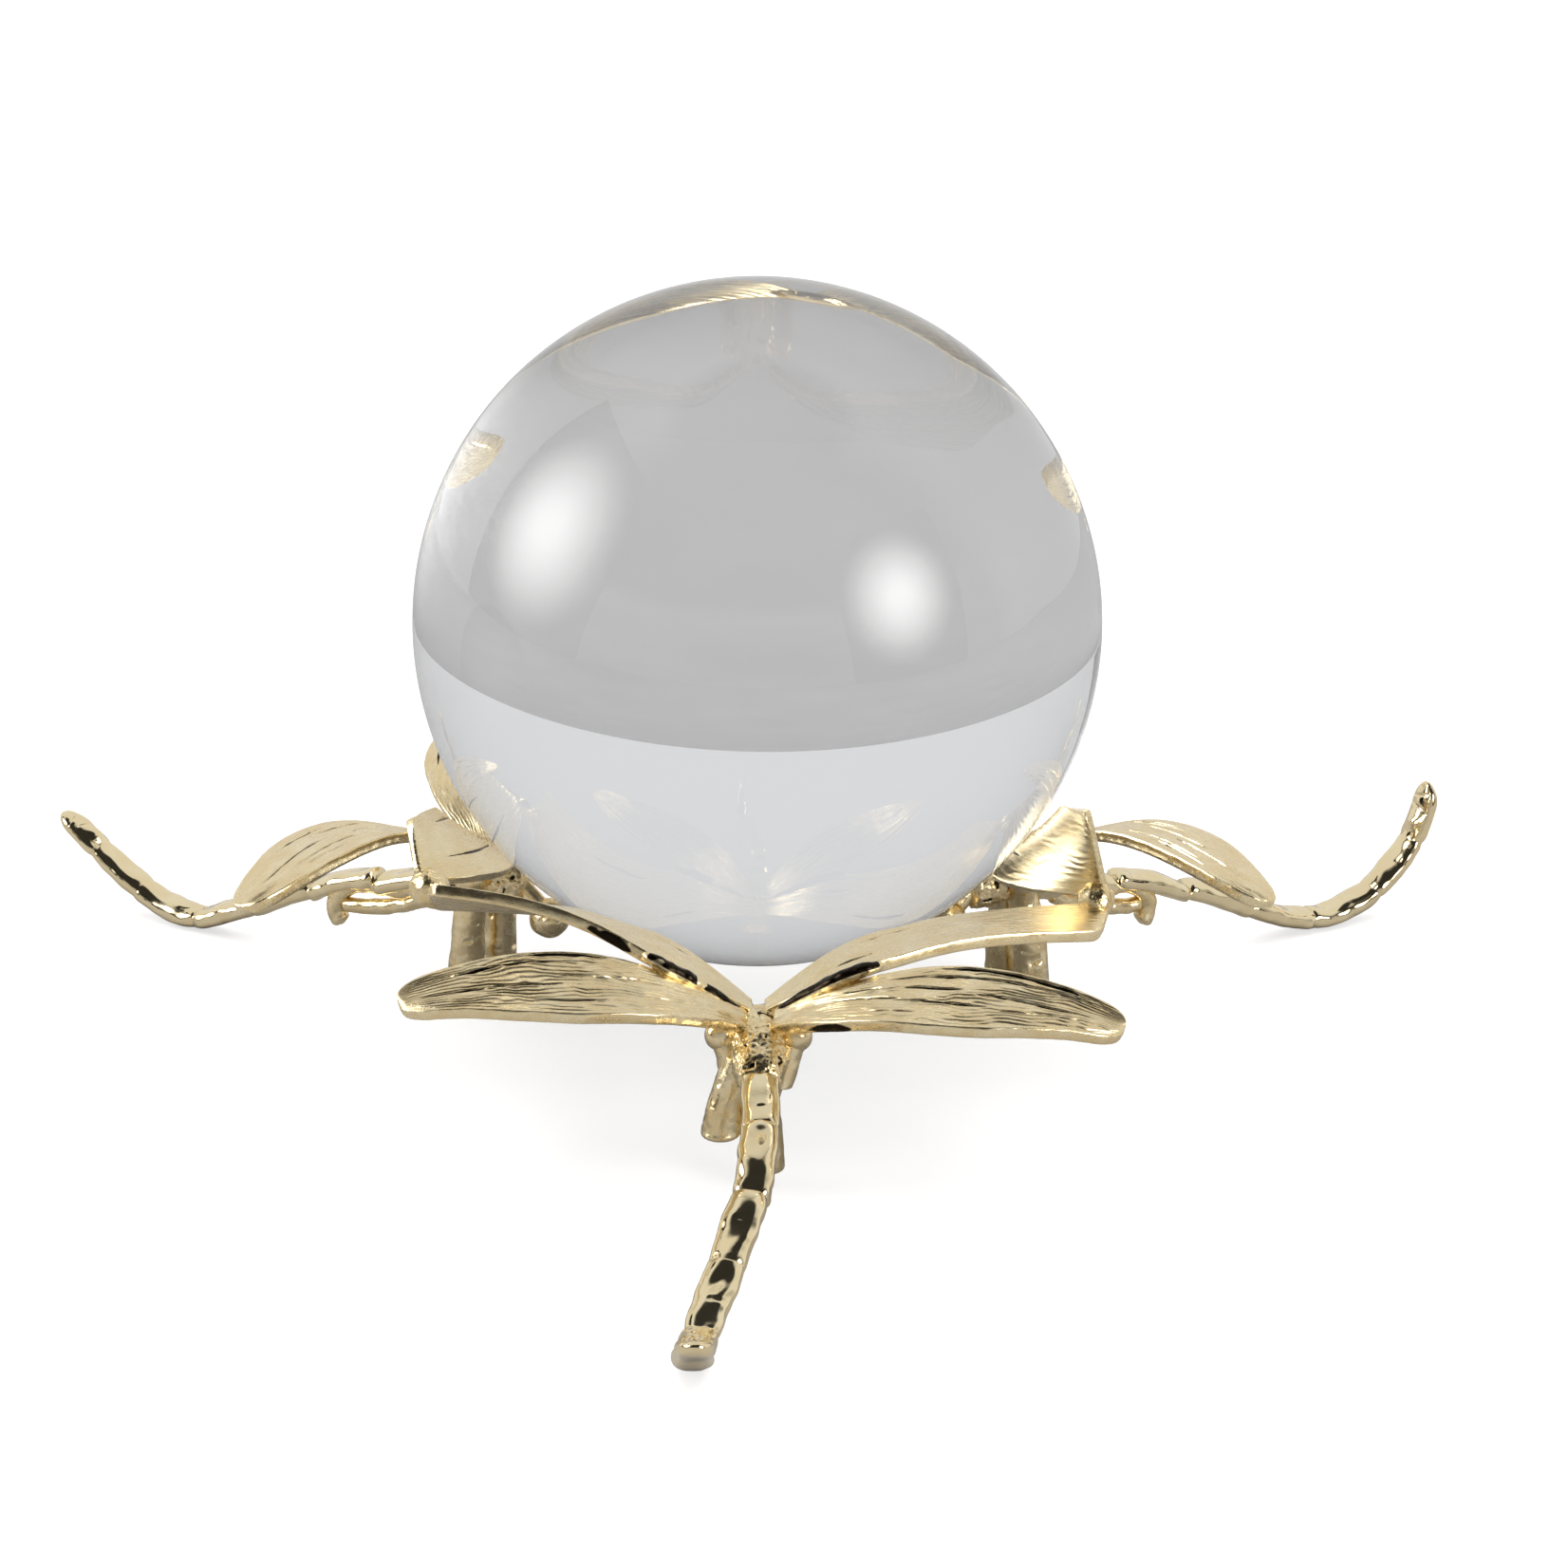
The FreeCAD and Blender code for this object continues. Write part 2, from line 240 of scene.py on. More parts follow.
def ease(x, start, end):
    t = np.clip((np.asarray(x, float) - start) / (end - start), 0.0, 1.0)
    return t * t * (3.0 - 2.0 * t)


def end_slope(points, params):
    """Slope at the first of four points of the cubic through them."""
    p, t = points[:4], params[:4]
    slope = np.zeros(3)
    for i in range(4):
        others = [j for j in range(4) if j != i]
        total = 0.0
        for k in others:
            term = 1.0
            for j in others:
                term *= (1.0 if j == k else (t[0] - t[j])) / (t[i] - t[j])
            total += term
        slope += p[i] * total
    return slope


class Curve:
    """A smooth cubic through points; at() and slope() take shares from 0 to 1."""

    def __init__(self, points, shares=None):
        self.p = np.array(points, float)
        n = len(self.p)
        if shares is None:
            steps = np.linalg.norm(np.diff(self.p, axis=0), axis=1)
            shares = np.concatenate([[0.0], np.cumsum(steps)]) / steps.sum()
        self.t = np.array(shares, float)
        h = np.diff(self.t)
        a = np.eye(n)
        b = np.zeros((n, 3))
        b[0] = end_slope(self.p, self.t)
        b[-1] = end_slope(self.p[::-1], self.t[::-1])
        for i in range(1, n - 1):
            a[i, i - 1:i + 2] = (h[i], 2 * (h[i - 1] + h[i]), h[i - 1])
            before = (self.p[i] - self.p[i - 1]) * h[i] / h[i - 1]
            after = (self.p[i + 1] - self.p[i]) * h[i - 1] / h[i]
            b[i] = 3 * (before + after)
        self.m = np.linalg.solve(a, b)

    def parts(self, share):
        share = np.atleast_1d(np.asarray(share, float))
        k = np.clip(np.searchsorted(self.t, share, side="right") - 1, 0, len(self.t) - 2)
        h = self.t[k + 1] - self.t[k]
        return k, h[:, None], ((share - self.t[k]) / h)[:, None]

    def at(self, share):
        k, h, x = self.parts(share)
        ends = self.p[k] * (2 * x ** 3 - 3 * x ** 2 + 1) + self.p[k + 1] * (3 * x ** 2 - 2 * x ** 3)
        return ends + h * (self.m[k] * (x ** 3 - 2 * x ** 2 + x) + self.m[k + 1] * (x ** 3 - x ** 2))

    def slope(self, share):
        k, h, x = self.parts(share)
        ends = (self.p[k + 1] - self.p[k]) * (6 * x - 6 * x ** 2) / h
        return ends + self.m[k] * (3 * x ** 2 - 4 * x + 1) + self.m[k + 1] * (3 * x ** 2 - 2 * x)

    def length(self):
        return np.linalg.norm(np.diff(self.at(np.linspace(0, 1, 400)), axis=0), axis=1).sum()


def lattice(ix, iy, iz, seed):
    h = ix * 374761393 + iy * 668265263 + iz * 1442695041 + seed * 974634777
    h = h.astype(np.uint64) & np.uint64(0xFFFFFFFF)
    h = ((h ^ (h >> np.uint64(13))) * np.uint64(1274126177)) & np.uint64(0xFFFFFFFF)
    h = h ^ (h >> np.uint64(16))
    return (h & np.uint64(0xFFFF)).astype(float) / 32767.5 - 1.0


def noise(x, y, z=0.0, seed=0):
    """Smooth noise from -1 to 1 with a grain of one unit."""
    x, y, z = np.broadcast_arrays(np.asarray(x, float), np.asarray(y, float), np.asarray(z, float))
    cell = [np.floor(c).astype(np.int64) for c in (x, y, z)]
    part = [c - np.floor(c) for c in (x, y, z)]
    fade = [p * p * (3 - 2 * p) for p in part]
    total = 0.0
    for i in (0, 1):
        for j in (0, 1):
            for k in (0, 1):
                weight = (fade[0] if i else 1 - fade[0]) * (fade[1] if j else 1 - fade[1])
                weight = weight * (fade[2] if k else 1 - fade[2])
                total = total + weight * lattice(cell[0] + i, cell[1] + j, cell[2] + k, seed)
    return total


def noise_at(points, grain, seed=0):
    q = points / grain
    return noise(q[..., 0], q[..., 1], q[..., 2], seed)


class Shell:
    """One closed skin of rings of points, each point with a dark mark and a flow position."""

    def __init__(self, rings, dark=None, flow=None):
        self.rings = np.array(rings, float)
        n, m = self.rings.shape[:2]
        self.dark = np.zeros((n, m)) if dark is None else dark
        self.flow = self.rings.copy() if flow is None else flow

    def arrays(self):
        n, m = self.rings.shape[:2]
        row = np.arange(n - 1)[:, None] * m
        here = np.arange(m)[None, :]
        there = (here + 1) % m
        quads = np.stack([row + here, row + there, row + m + there, row + m + here], -1)
        quads = quads.reshape(-1, 4)
        points, flow = [
            np.concatenate([values.reshape(-1, 3), values[0].mean(0)[None], values[-1].mean(0)[None]])
            for values in (self.rings, self.flow)
        ]
        dark = np.concatenate([self.dark.reshape(-1), [self.dark[0].mean()], [self.dark[-1].mean()]])
        first = np.stack([np.full(m, n * m), there[0], here[0]], -1)
        last = np.stack([np.full(m, n * m + 1), (n - 1) * m + here[0], (n - 1) * m + there[0]], -1)
        tris = np.concatenate([first, last])
        first_three = points[quads[:, :3]] - points.mean(0)
        normals = np.cross(first_three[:, 1], first_three[:, 2])
        volume = np.einsum("ij,ij->", first_three[:, 0], normals)
        if volume < 0:
            quads, tris = quads[:, ::-1], tris[:, ::-1]
        return points, quads, tris, dark, flow


def place(points, turn, yaw, roll, lift):
    """Dragonfly frame (t, -r, z) to the part's frame."""
    spin = np.array(Matrix.Rotation(math.radians(roll), 3, Vector((0, -1, 0))))
    stand = np.array(Matrix.Rotation(math.radians(turn + yaw), 3, "Z"))
    return ((points - PIVOT) @ spin.T + PIVOT + np.array([0, 0, lift])) @ stand.T


def local(points):
    p = np.asarray(points, float)
    return np.stack([p[..., 1], -p[..., 0], p[..., 2]], -1)


def make_piece(name, shells, material, body, node):
    """A mesh from shells in the part's frame, standing for its CAD node.

    A stand piece is kept clear of the ball, and every piece is kept inside the CAD box.
    """
    points, quads, tris, dark, flow, count = [], [], [], [], [], 0
    for shell in shells:
        p, q, t, d, f = shell.arrays()
        points.append(p)
        quads.append(q + count)
        tris.append(t + count)
        dark.append(d)
        flow.append(f)
        count += len(p)
    points, quads, tris = np.concatenate(points), np.concatenate(quads), np.concatenate(tris)
    if body == "stand":
        out = points - BALL_CENTRE
        reach = np.linalg.norm(out, axis=1, keepdims=True)
        nearest = BALL_R + BALL_CLEARANCE
        points = np.where(reach < nearest, BALL_CENTRE + out / reach * nearest, points)
    points = np.clip(points * MM, np.array(cad_lo), np.array(cad_hi))
    mesh = bpy.data.meshes.new(name)
    mesh.vertices.add(len(points))
    mesh.vertices.foreach_set("co", points.reshape(-1))
    corners = np.concatenate([quads.reshape(-1), tris.reshape(-1)]).astype(np.int32)
    sizes = np.concatenate([np.full(len(quads), 4), np.full(len(tris), 3)])
    starts = np.concatenate([[0], np.cumsum(sizes)[:-1]]).astype(np.int32)
    mesh.loops.add(len(corners))
    mesh.loops.foreach_set("vertex_index", corners)
    mesh.polygons.add(len(sizes))
    mesh.polygons.foreach_set("loop_start", starts)
    mesh.polygons.foreach_set("use_smooth", np.ones(len(sizes), bool))
    mesh.update(calc_edges=True)
    mesh.validate()
    dark_marks = mesh.attributes.new("dark", "FLOAT", "POINT")
    dark_marks.data.foreach_set("value", np.concatenate(dark))
    flow_marks = mesh.attributes.new("flow", "FLOAT_VECTOR", "POINT")
    flow_marks.data.foreach_set("vector", np.concatenate(flow).reshape(-1))
    mesh.materials.append(material)
    piece = bpy.data.objects.new(name, mesh)
    bpy.context.scene.collection.objects.link(piece)
    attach(piece, body)
    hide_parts(node)


# ---------------------------------------------------------------- materials

class Nodes:
    """Short ways to build a node tree; inputs are named, or given by number as _0, _1, ..."""

    def __init__(self, tree):
        self.tree = tree
        tree.nodes.clear()

    def add(self, kind, **inputs):
        node = self.tree.nodes.new(kind)
        for key, value in inputs.items():
            self.feed(node, key, value)
        return node

    def feed(self, node, key, value):
        socket = node.inputs[int(key[1:]) if key[0] == "_" else key.replace("_", " ")]
        if isinstance(value, bpy.types.NodeSocket):
            self.tree.links.new(value, socket)
        else:
            socket.default_value = value

    def math(self, operation, first, second):
        node = self.tree.nodes.new("ShaderNodeMath")
        node.operation = operation
        for k, value in enumerate((first, second)):
            self.feed(node, "_%d" % k, value)
        return node.outputs[0]

    def attribute(self, name):
        node = self.tree.nodes.new("ShaderNodeAttribute")
        node.attribute_name = name
        return node

    def place(self):
        return self.tree.nodes.new("ShaderNodeTexCoord").outputs["Object"]

    def ranged(self, value, low, high, to_low, to_high):
        node = self.tree.nodes.new("ShaderNodeMapRange")
        node.interpolation_type = "SMOOTHSTEP"
        for k, number in enumerate((value, low, high, to_low, to_high)):
            self.feed(node, "_%d" % k, number)
        return node.outputs[0]

    def mix(self, share, first, second):
        node = self.tree.nodes.new("ShaderNodeMix")
        node.data_type = "RGBA"
        self.feed(node, "_0", share)
        self.feed(node, "_6", first)
        self.feed(node, "_7", second)
        return node.outputs[2]

    def grain(self, vector, scale, detail=3.0, roughness=0.55):
        node = self.add("ShaderNodeTexNoise", Vector=vector, Scale=scale, Detail=detail, Roughness=roughness)
        return node.outputs[0]

    def shader_mix(self, share, first, second):
        node = self.tree.nodes.new("ShaderNodeMixShader")
        self.feed(node, "_0", share)
        self.feed(node, "_1", first)
        self.feed(node, "_2", second)
        return node.outputs[0]

    def finish(self, kind, result):
        self.tree.links.new(result, self.add(kind).inputs[0])

    def bump(self, height, distance, normal=None):
        node = self.add("ShaderNodeBump", Height=height, Distance=distance, Strength=1.0)
        if normal is not None:
            self.feed(node, "Normal", normal)
        return node.outputs[0]


def new_material(name):
    material = bpy.data.materials.new(name)
    material.use_nodes = True
    return material, Nodes(material.node_tree)


PALE_GOLD = (1.0, 0.86, 0.56, 1.0)
DEEP_GOLD = (0.86, 0.64, 0.31, 1.0)
# Near-black painted into the gold where a piece is marked dark: painted shade in wing grooves, pits and tail
# cut lines, painted dark reflection on wing edges and wing lips.
PAINTED_DARK = (0.022, 0.016, 0.010, 1.0)
PATCH_SCALE = 260.0
FINE_GRAIN_SCALE = 2600.0


def gold(name, rough, rough_spread, grain_scale, bump_mm, deep_share, stretch=None, fine_bump_mm=0.0):
    """Plated casting: pale gold that deepens in patches, painted near-black where the piece is marked dark,
    as painted shade and painted dark reflection.

    With stretch, the grain runs along the piece by its flow positions.
    """
    material, n = new_material(name)
    spot = n.place()
    if stretch:
        flow = n.attribute("flow").outputs["Vector"]
        scaled = n.tree.nodes.new("ShaderNodeMapping")
        n.feed(scaled, "Vector", flow)
        n.feed(scaled, "Scale", stretch)
        lines = n.grain(scaled.outputs[0], 1.0, 4.0, 0.6)
    else:
        lines = n.grain(spot, grain_scale, 4.0, 0.6)
    patches = n.grain(spot, PATCH_SCALE, 2.0)
    both = n.math("ADD", n.math("MULTIPLY", patches, 0.5), n.math("MULTIPLY", lines, 0.5))
    deep = n.ranged(both, 0.38, 0.66, deep_share, 0.0)
    colour = n.mix(deep, PALE_GOLD, DEEP_GOLD)
    ragged = n.math("MULTIPLY", n.math("SUBTRACT", lines, 0.5), 0.5)
    marked = n.math("ADD", n.attribute("dark").outputs["Fac"], ragged)
    # The dark marks paint shade and dark reflection into the colour here.
    painted_dark_share = n.ranged(marked, 0.42, 0.58, 0.0, 1.0)
    colour = n.mix(painted_dark_share, colour, PAINTED_DARK)
    shine = n.ranged(lines, 0.3, 0.7, rough - rough_spread, rough + rough_spread)
    normal = n.bump(lines, bump_mm * MM)
    if fine_bump_mm:
        normal = n.bump(n.grain(spot, FINE_GRAIN_SCALE, 2.0), fine_bump_mm * MM, normal)
    metal = n.add("ShaderNodeBsdfPrincipled", Base_Color=colour, Metallic=1.0, Roughness=shine, Normal=normal)
    n.finish("ShaderNodeOutputMaterial", metal.outputs[0])
    return material


GLASS_IOR = 1.5


def glass(name):
    """Clear glass, dulled in a few small scuffs."""
    material, n = new_material(name)
    scuffs = n.ranged(n.grain(n.place(), 900.0, 2.0), 0.70, 0.80, 0.0, 0.02)
    tint = (0.97, 0.975, 0.98, 1.0)
    clear = n.add("ShaderNodeBsdfPrincipled", Base_Color=tint, Roughness=scuffs, IOR=GLASS_IOR)
    n.feed(clear, "Transmission_Weight", 1.0)
    n.finish("ShaderNodeOutputMaterial", clear.outputs[0])
    return material


WING_STRETCH = (0.22, 2.4, 1.0)
WING_GOLD = gold("wing gold", 0.27, 0.07, 900.0, 0.05, 0.55, stretch=WING_STRETCH, fine_bump_mm=0.012)
POLISHED_GOLD = gold("polished gold", 0.10, 0.035, 420.0, 0.02, 0.30)
CAST_GOLD = gold("cast gold", 0.22, 0.08, 900.0, 0.05, 0.65, fine_bump_mm=0.015)
ROUGH_GOLD = gold("rough gold", 0.16, 0.06, 1500.0, 0.12, 0.85, fine_bump_mm=0.04)
CLEAR_GLASS = glass("clear glass")


# ---------------------------------------------------------------- wings

GROOVE_MM = 0.30
GROOVE_WANDER = 0.020
VEIN_SHARPNESS = 1.4
EDGE_STEPS = 13
TIP_THINNING_MM = 0.9
RIDGE_OFFSET = np.array([0.0, 0.0, -0.35])
OUTER_LOOK = dict(veins=15, stations=300, across=130, narrow_mm=3.2, narrowing=0.70)
INNER_LOOK = dict(veins=9, stations=320, across=130, narrow_mm=0.6, narrowing=0.45)


def groove_marks(s, a, half, grooves, seed):
    """How deep in a groove each point is, from 0 to 1.

    s is the share along the wing, a the place across it from -1 to 1, half its half width.
    """
    marks = np.zeros(np.broadcast(s, a).shape)
    for k, (start, end, a_start, a_end, width) in enumerate(grooves):
        share = np.clip((s - start) / (end - start), 0.0, 1.0)
        middle = a_start + (a_end - a_start) * share + GROOVE_WANDER * noise(s * 14.0, k * 7.3, 0.0, seed)
        taper = np.clip(4.0 * share, 0, 1) * np.clip(4.0 * (1 - share), 0, 1)
        inside = (s > start) & (s < end)
        reach = width * 0.5 * (0.25 + 0.75 * taper) * (0.8 + 0.35 * noise(s * 22.0, k * 3.1, 5.0, seed))
        away = np.abs(a - middle) * half / np.maximum(reach, 0.03)
        depth = np.exp(-away ** 4 * 0.7) * np.minimum(1.0, 2.6 * taper)
        marks = np.maximum(marks, np.where(inside, depth, 0.0))
    return marks


def random_grooves(rng, count):
    edge = 0.86
    grooves = []
    for k in range(count):
        start = rng.uniform(0.12, 0.62)
        end = min(0.95, start + rng.uniform(0.14, 0.38))
        a = -edge + 2 * edge * (k + rng.uniform(0.2, 0.8)) / count
        grooves.append((start, end, a, a + rng.uniform(-0.07, 0.07), rng.uniform(0.28, 0.55)))
    return grooves


def blade(near, far, seed, grooves, under_grooves, vein_mm, wave_mm, look, painted_edge_reflections=()):
    """A cast wing blade between two edge curves, veined on both faces.

    look holds its veins, stations, points across, how far from the tip it starts to narrow in mm
    and how much it narrows there. The last argument holds streaks of painted dark reflection along the
    edges, each as side (1 far, -1 near), start and end.
    """
    stations = look["stations"]
    s = np.linspace(0.0, 1.0, stations)
    n, f = near.at(s), far.at(s)
    along = unit(near.slope(s) + far.slope(s))
    across = unit(f - n)
    up = unit(np.cross(along, across))
    turned = np.concatenate([np.sign(up[:1, 2]), np.sign(np.einsum("ij,ij->i", up[1:], up[:-1]))])
    up *= np.cumprod(turned)[:, None]
    half = np.linalg.norm(f - n, axis=1) / 2
    centre = (n + f) / 2 - up * WING_CAMBER * np.minimum(1.0, half / 5.0)[:, None]
    length = near.length() * 0.5 + far.length() * 0.5

    def rounding(distance):
        near_tip = np.clip((1 - s) * length / distance, 0.0, 1.0)
        return np.sqrt(np.clip(1 - (1 - near_tip) ** 2, 0.0, 1.0))

    tip_round = rounding(look["narrow_mm"])
    thin = rounding(TIP_THINNING_MM)
    s_col = s[:, None]
    along_mm = s_col * length

    def edge_wobble(row, first_seed):
        coarse = 0.10 * noise(along_mm / 2.6, row, 0.0, first_seed)
        return coarse + 0.05 * noise(along_mm / 0.9, row + 1.0, 0.0, first_seed + 1)

    wobble_far = edge_wobble(1.0, seed + 11)
    wobble_near = edge_wobble(5.0, seed + 13)

    def face(a, lower):
        """Height above the plain face, and dark marks that paint shade into the grooves."""
        across_mm = a * half[:, None]
        sway = 0.70 * noise(along_mm / 3.6, a * 2.2, 0.0, seed + 1)
        sway = sway + 0.34 * noise(along_mm / 1.3, a * 5.0, 0.0, seed + 2)
        phase = look["veins"] * 0.5 * (a + 1) + sway + (0.37 if lower else 0.0)
        crest = (0.5 + 0.5 * np.cos(2 * math.pi * phase)) ** VEIN_SHARPNESS
        strength = 0.65 + 0.45 * noise(along_mm / 5.0, across_mm / 1.5, 3.0, seed + 3)
        lumps = 0.5 * noise(along_mm / 2.2, across_mm / 1.1, 0.0, seed + 4)
        inside = ease(1 - np.abs(a), 0.0, 0.10) * ease(s_col, 0.02, 0.10) * tip_round[:, None]
        # The groove marks also paint shade into the grooves.
        cut = groove_marks(s_col, a, half[:, None], under_grooves if lower else grooves, seed + 50 * lower)
        height = (vein_mm * (crest * strength - 0.5) + vein_mm * 0.55 * lumps) * inside
        return height - GROOVE_MM * cut, cut

    a = np.linspace(-1, 1, look["across"])[None, :] * np.ones((stations, 1))
    ripple = wave_mm * noise(s_col * length / 9.0, a * 1.5, 0.0, seed + 6)
    top_height, top_marks = face(a, False)
    low_height, low_marks = face(a, True)
    thick = HALF_THICKNESS * (0.35 + 0.65 * thin)[:, None]
    blunt = look["narrowing"]
    width = (half[:, None] - EDGE_ROUND) * (1.0 - blunt + blunt * tip_round)[:, None]
    top = np.stack([a * width, thick + top_height + ripple], -1)
    bottom = np.stack([a * width, -thick - low_height + ripple], -1)[:, ::-1]
    far_side, near_side = [], []
    for angle in np.linspace(math.pi / 2, -math.pi / 2, EDGE_STEPS)[1:-1]:
        c, z = math.cos(angle), math.sin(angle)
        bulge = abs(c) ** (2 / 3.0)
        rise = math.copysign(abs(z) ** (2 / 3.2), z)
        far_out = width[:, 0] + (EDGE_ROUND + wobble_far[:, 0]) * bulge * thin
        near_out = -width[:, 0] - (EDGE_ROUND + wobble_near[:, 0]) * bulge * thin
        far_side.append(np.stack([far_out, thick[:, 0] * rise + ripple[:, -1]], -1))
        near_side.append(np.stack([near_out, -thick[:, 0] * rise + ripple[:, 0]], -1))
    far_side = np.stack(far_side, 1)
    near_side = np.stack(near_side, 1)
    section = np.concatenate([top, far_side, bottom, near_side], 1)

    # Streaks of painted dark reflection along the edge faces.
    far_marks = np.zeros(far_side.shape[:2])
    near_marks = np.zeros(near_side.shape[:2])
    for which, start, end in painted_edge_reflections:
        target = far_marks if which > 0 else near_marks
        swell = np.sin(math.pi * np.clip((s_col - start) / (end - start), 0.0, 1.0))
        rows_down = np.linspace(-1, 1, target.shape[1])[None, :]
        painted_streak = 1.15 * swell - 0.95 * np.abs(rows_down - 0.2)
        painted_streak = painted_streak + 0.35 * noise(s_col * length / 1.4, rows_down * 1.3, 0.0, seed + 20)
        np.maximum(target, np.clip(painted_streak, 0.0, 1.0) * (swell > 0), out=target)
    marks = np.concatenate([top_marks, far_marks, low_marks[:, ::-1], near_marks], 1)
    rings = centre[:, None] + across[:, None] * section[..., :1] + up[:, None] * section[..., 1:]
    flow = np.stack([s_col * length * np.ones(marks.shape), section[..., 0], section[..., 1]], -1)
    return rings, marks, flow


def ridge(curve, end, radius, seed):
    """A lumpy raised lip along an edge curve from its root to the share end, painted black as a dark
    reflection, with painted glints.
    """
    u = np.linspace(0, 1, 90)
    middle_line = curve.at(end * u) + RIDGE_OFFSET
    along = unit(curve.slope(end * u))
    side = unit(np.cross(along, np.array([0.0, 0.0, 1.0])))
    up = np.cross(side, along)
    taper = np.sqrt(np.clip(1 - np.abs(2 * u - 1) ** 3, 0.0, 1.0))
    angles = np.linspace(0, 2 * math.pi, 40, endpoint=False)
    c, s = np.cos(angles)[None, :, None], np.sin(angles)[None, :, None]
    round_it = side[:, None] * c + up[:, None] * s * 0.95
    rings = middle_line[:, None] + round_it * radius * np.maximum(taper, 0.02)[:, None, None]
    lumps = 0.16 * noise_at(rings, 1.5, seed) + 0.07 * noise_at(rings, 0.6, seed + 1)
    rings = swell_out(rings, lumps * taper[:, None])
    # The lip's top is painted black as a dark reflection, broken by painted glints where the black is left
    # out.
    painted_reflection_top = np.sin(angles)[None, :] * 0.6 + 0.4
    ends = ease(u, 0.03, 0.11)[:, None] * ease(u, 0.96, 0.88)[:, None]
    painted_glints = ease(noise_at(rings, 1.6, seed + 2), 0.25, 0.55)
    return rings, ends * ease(painted_reflection_top, 0.35, 0.75) * (1.0 - painted_glints), None


def inner_edge(points, side, bend):
    bent = []
    for (bearing, distance, z), share in zip(points, INNER_SHARES):
        weight = share ** 2
        angle = math.radians(bearing + bend[0] * weight) * side
        reach = distance + bend[1] * weight
        bent.append((reach * math.cos(angle), reach * math.sin(angle), z + bend[2] * weight))
    return Curve(local(bent), INNER_SHARES)


def placed_shell(made, turn, yaw, roll, lift):
    rings, dark, flow = made
    return Shell(place(rings, turn, yaw, roll, lift), dark, flow)


# ---------------------------------------------------------------- bodies

def round_rings(centres, across, up, widths, heights, power, count):
    angles = np.linspace(0, 2 * math.pi, count, endpoint=False)
    c, s = np.cos(angles), np.sin(angles)
    a = np.copysign(np.abs(c) ** (2 / power), c)
    b = np.copysign(np.abs(s) ** (2 / power), s)
    return (
        centres[:, None]
        + across[:, None] * (a[None, :] * widths[:, None])[..., None]
        + up[:, None] * (b[None, :] * heights[:, None])[..., None]
    )


def swell_out(rings, amount):
    middle = rings.mean(1, keepdims=True)
    return rings + unit(rings - middle + 1e-9) * amount[..., None]


def thorax_rings(seed):
    """The thorax with its crusted, pitted skin, smooth at the end next to the abdomen."""
    stations = np.array(THORAX)
    u = np.linspace(0, 1, 130)
    line = Curve(local(np.stack([stations[:, 0], stations[:, 0] * 0, stations[:, 1]], -1)))
    shape = Curve(np.stack([stations[:, 2], stations[:, 3], stations[:, 2] * 0], -1), line.t)
    size = shape.at(u)
    ends = np.sqrt(np.clip(1 - np.maximum(0, np.abs(2 * u - 1) - 0.90) ** 2 / 0.01, 0.0, 1.0))
    across = np.tile([1.0, 0, 0], (len(u), 1))
    up = np.tile([0, 0, 1.0], (len(u), 1))
    rings = round_rings(line.at(u), across, up, size[:, 0] * ends, size[:, 1] * ends, 2.3, 150)
    crust = 0.20 * noise_at(rings, 1.3, seed) + 0.15 * np.abs(noise_at(rings, 0.62, seed + 1))
    crust = crust + 0.08 * noise_at(rings, 0.3, seed + 2)
    crusted = ease(u, 0.97, 0.92)[:, None]
    pits = ease(noise_at(rings, 0.8, seed + 3), 0.35, 0.7) * crusted
    rough = crust * (0.25 + 0.75 * crusted) - 0.12 - 0.22 * pits
    # The dark marks paint shade into the pits.
    return swell_out(rings, rough), ease(pits, 0.5, 1.0) * 0.8, None


def ball_rings(centre, radius, seed, lump, grain, count=48):
    """A ball, uneven by lump mm where lump isn't 0."""
    polar = np.linspace(0.02, math.pi - 0.02, count)
    rings = []
    angles = np.linspace(0, 2 * math.pi, 2 * count, endpoint=False)
    for p in polar:
        x, y = np.cos(angles) * math.sin(p), np.sin(angles) * math.sin(p)
        rings.append(np.stack([x, y, np.full(2 * count, math.cos(p))], -1))
    rings = np.array(rings)
    swell = 1 + lump / radius * noise_at(rings * radius + centre, grain, seed)
    return rings * (radius * swell)[..., None] + centre


def head_shells(seed):
    centre = local(HEAD_CENTRE)
    skull = ball_rings(centre, HEAD_R * 0.94, seed, 0.10, 1.2)
    eyes = []
    for side in (-1.0, 1.0):
        eye = centre + np.array([side * 1.15, 0.85, 0.15])
        eyes.append(ball_rings(eye, 1.45, seed + 5, 0.04, 0.8, 32))
    toward = local((THORAX[1][0], 0, THORAX[1][1]))
    line = Curve([centre, centre * 0.66 + toward * 0.34, centre * 0.33 + toward * 0.67, toward])
    u = np.linspace(0, 1, 30)
    across = np.tile([1.0, 0, 0], (30, 1))
    up = unit(np.cross(across, unit(line.slope(u))))
    radii = np.full(30, NECK_R)
    neck = round_rings(line.at(u), across, up, radii, radii, 2.0, 40)
    return [(skull, None, None), (neck, None, None)] + [(eye, None, None) for eye in eyes]


# Where one abdomen segment meets the next, as a share of its length, how sharp the step is and
# how far in mm the segment's top falls towards it.
SEGMENT_ENDS = [
    (0.135, 1.0, 1.0),
    (0.30, 0.75, 0.95),
    (0.455, 0.35, 0.30),
    (0.61, 0.45, 0.22),
    (0.76, 0.30, 0.12),
    (0.885, 0.5, 0.05),
]

WAVE_LENGTH_MM = 6.6


